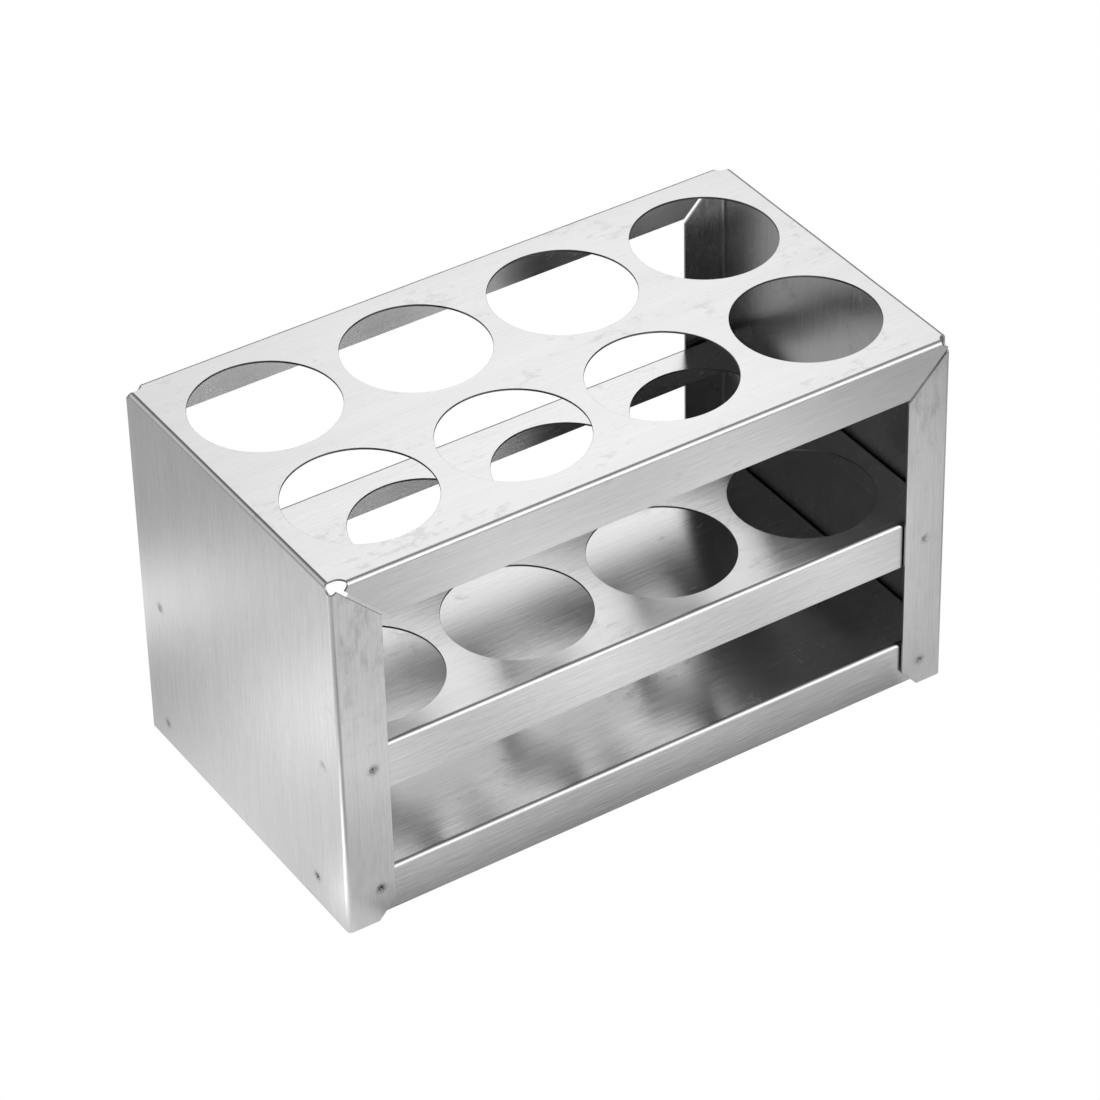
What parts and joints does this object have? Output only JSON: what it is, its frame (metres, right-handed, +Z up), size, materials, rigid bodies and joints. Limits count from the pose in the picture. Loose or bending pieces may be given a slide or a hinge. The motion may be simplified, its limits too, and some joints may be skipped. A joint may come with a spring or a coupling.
{
  "type": "test tube rack",
  "caption": "Folded sheet-steel test tube rack: perforated top and middle shelf over a plain bottom shelf, open at front and rear, mitred corners and spot-welded shelves.",
  "frame": {"origin": "centre of the footprint, on the ground plane", "axes": "+X along the length, +Y towards the rear, +Z up"},
  "size_m": [0.187, 0.1024, 0.11],
  "materials": {
    "shell_steel": "fine directional brushed grain, bright top, lightly smudged",
    "shelf_steel": "fine brushed grain along the length, satin",
    "weld_steel": "dull, slightly heat-stained"
  },
  "bodies": {
    "root": {"outer_shell": "shell_steel", "middle_shelf": "shelf_steel", "bottom_shelf": "shelf_steel", "shelf_flange_welds": "weld_steel", "shelf_end_welds": "weld_steel", "floor_flange_welds": "weld_steel", "floor_end_welds": "weld_steel"}
  },
  "joints": []
}
